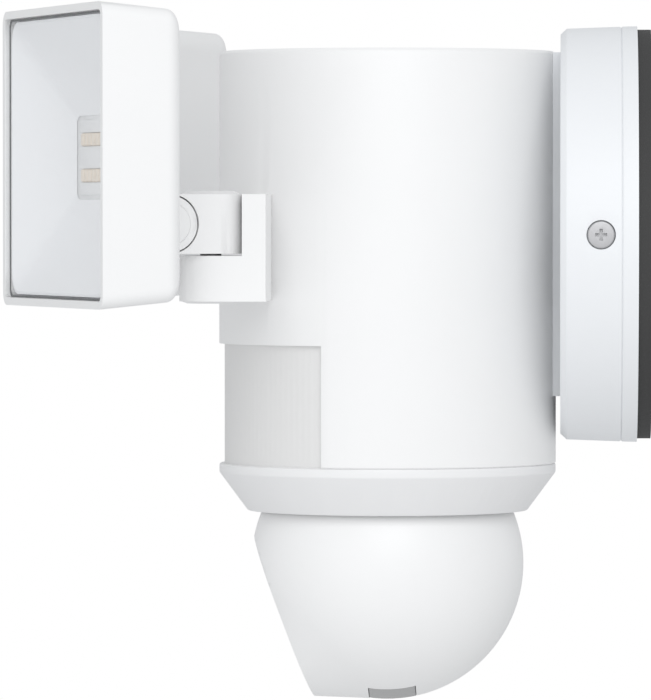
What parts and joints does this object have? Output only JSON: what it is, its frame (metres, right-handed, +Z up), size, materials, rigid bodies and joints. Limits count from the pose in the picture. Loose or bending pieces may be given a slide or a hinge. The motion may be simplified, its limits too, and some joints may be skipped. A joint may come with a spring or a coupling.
{
  "type": "floodlight security camera",
  "caption": "Wall-mounted floodlight with a round upright body, hinged square lamp heads and a panning, tilting ball-shaped camera head below.",
  "frame": {"origin": "centre of the wall face, on the plane where the bracket and gasket meet the wall", "axes": "+Y into the wall, front faces -Y, +Z up, +X to the right seen from the front"},
  "size_m": [0.2608, 0.1872, 0.2004],
  "materials": {
    "white_plastic": "smooth matte white moulding",
    "plate_white": "fine matte, slightly cool white",
    "foam_black": "closed-cell foam, dull black",
    "zinc_steel": "zinc plated",
    "green_screw": "green plated",
    "window_grey": "frosted translucent film",
    "board_green": "solder mask",
    "board_white": "white solder mask",
    "dark_plastic": "matte black moulding",
    "motor_steel": "drawn steel can",
    "black_glass": "gloss black window",
    "lens_black": "gloss black with a dark lens",
    "cover_grey": "smooth grey rubber",
    "clear_glass": "clear, polished",
    "seal_black": "black silicone",
    "reflector_white": "bright satin",
    "led_amber": "warm phosphor",
    "sink_aluminium": "bare, satin"
  },
  "bodies": {
    "fixed": {"wall_gasket": "foam_black", "wall_bracket": "zinc_steel", "ground_screw": "green_screw", "base_rear_ring": "plate_white", "base_canopy": "plate_white", "base_side_screws": "zinc_steel", "neck_saddle": "plate_white", "neck_screws": "zinc_steel", "body_shell": "white_plastic", "top_cap": "white_plastic", "pir_window": "window_grey", "pir_board": "board_green", "pir_sensors": "zinc_steel", "collar_ring": "white_plastic", "pan_housing": "dark_plastic", "pan_motor": "motor_steel", "mid_shelf": "dark_plastic", "main_board": "board_green", "power_board": "board_green", "antenna": "dark_plastic", "speaker": "dark_plastic", "arm_screws": "zinc_steel", "right_arm": "white_plastic", "right_swivel_pin": "zinc_steel", "left_arm": "white_plastic", "left_swivel_pin": "zinc_steel"},
    "pan_carrier": {"turntable": "dark_plastic", "turntable_clip": "zinc_steel", "tilt_yoke": "dark_plastic", "tilt_axle": "zinc_steel"},
    "camera_head": {"head_shell": "white_plastic", "face_window": "black_glass", "lens_carrier": "dark_plastic", "wide_lens": "lens_black", "tele_lens": "lens_black", "image_board": "board_green", "tilt_motor": "motor_steel"},
    "service_cover_body": {"service_cover": "cover_grey"},
    "sync_button_body": {"sync_button": "white_plastic"},
    "right_swivel": {"right_knuckle": "white_plastic"},
    "left_swivel": {"left_knuckle": "white_plastic"},
    "right_lamp": {"right_pivot_caps": "white_plastic", "right_tilt_pin": "zinc_steel", "right_housing": "white_plastic", "right_seal": "seal_black", "right_glass": "clear_glass", "right_reflector": "reflector_white", "right_led_board": "board_white", "right_led_strips": "led_amber", "right_heat_sink": "sink_aluminium"},
    "left_lamp": {"left_pivot_caps": "white_plastic", "left_tilt_pin": "zinc_steel", "left_housing": "white_plastic", "left_seal": "seal_black", "left_glass": "clear_glass", "left_reflector": "reflector_white", "left_led_board": "board_white", "left_led_strips": "led_amber", "left_heat_sink": "sink_aluminium"}
  },
  "joints": [
    {"name": "pan", "type": "hinge", "parent": "fixed", "child": "pan_carrier", "pos_m": [0, -0.077, -0.05], "axis": [0, 0, 1], "range_deg": [-180, 180]},
    {"name": "tilt", "type": "hinge", "parent": "pan_carrier", "child": "camera_head", "pos_m": [0, -0.077, -0.0964], "axis": [1, 0, 0], "range_deg": [-20, 38]},
    {"name": "service_cover_pull", "type": "slide", "parent": "camera_head", "child": "service_cover_body", "axis": [0, 0, -1], "range_m": [0, 0.012]},
    {"name": "sync_press", "type": "slide", "parent": "camera_head", "child": "sync_button_body", "axis": [0, 0, 1], "range_m": [0, 0.001], "stiffness_N_per_m": 600},
    {"name": "right_swing", "type": "hinge", "parent": "fixed", "child": "right_swivel", "pos_m": [0.065, -0.12515, 0.0031], "axis": [0, 0, 1], "range_deg": [-20, 50]},
    {"name": "left_swing", "type": "hinge", "parent": "fixed", "child": "left_swivel", "pos_m": [-0.065, -0.12515, 0.0031], "axis": [0, 0, -1], "range_deg": [-20, 50]},
    {"name": "right_nod", "type": "hinge", "parent": "right_swivel", "child": "right_lamp", "pos_m": [0.07004, -0.13885, 0.0031], "axis": [0.9385, 0.3453, 0], "range_deg": [-20, 35]},
    {"name": "left_nod", "type": "hinge", "parent": "left_swivel", "child": "left_lamp", "pos_m": [-0.07004, -0.13885, 0.0031], "axis": [0.9385, -0.3453, 0], "range_deg": [-20, 35]}
  ]
}
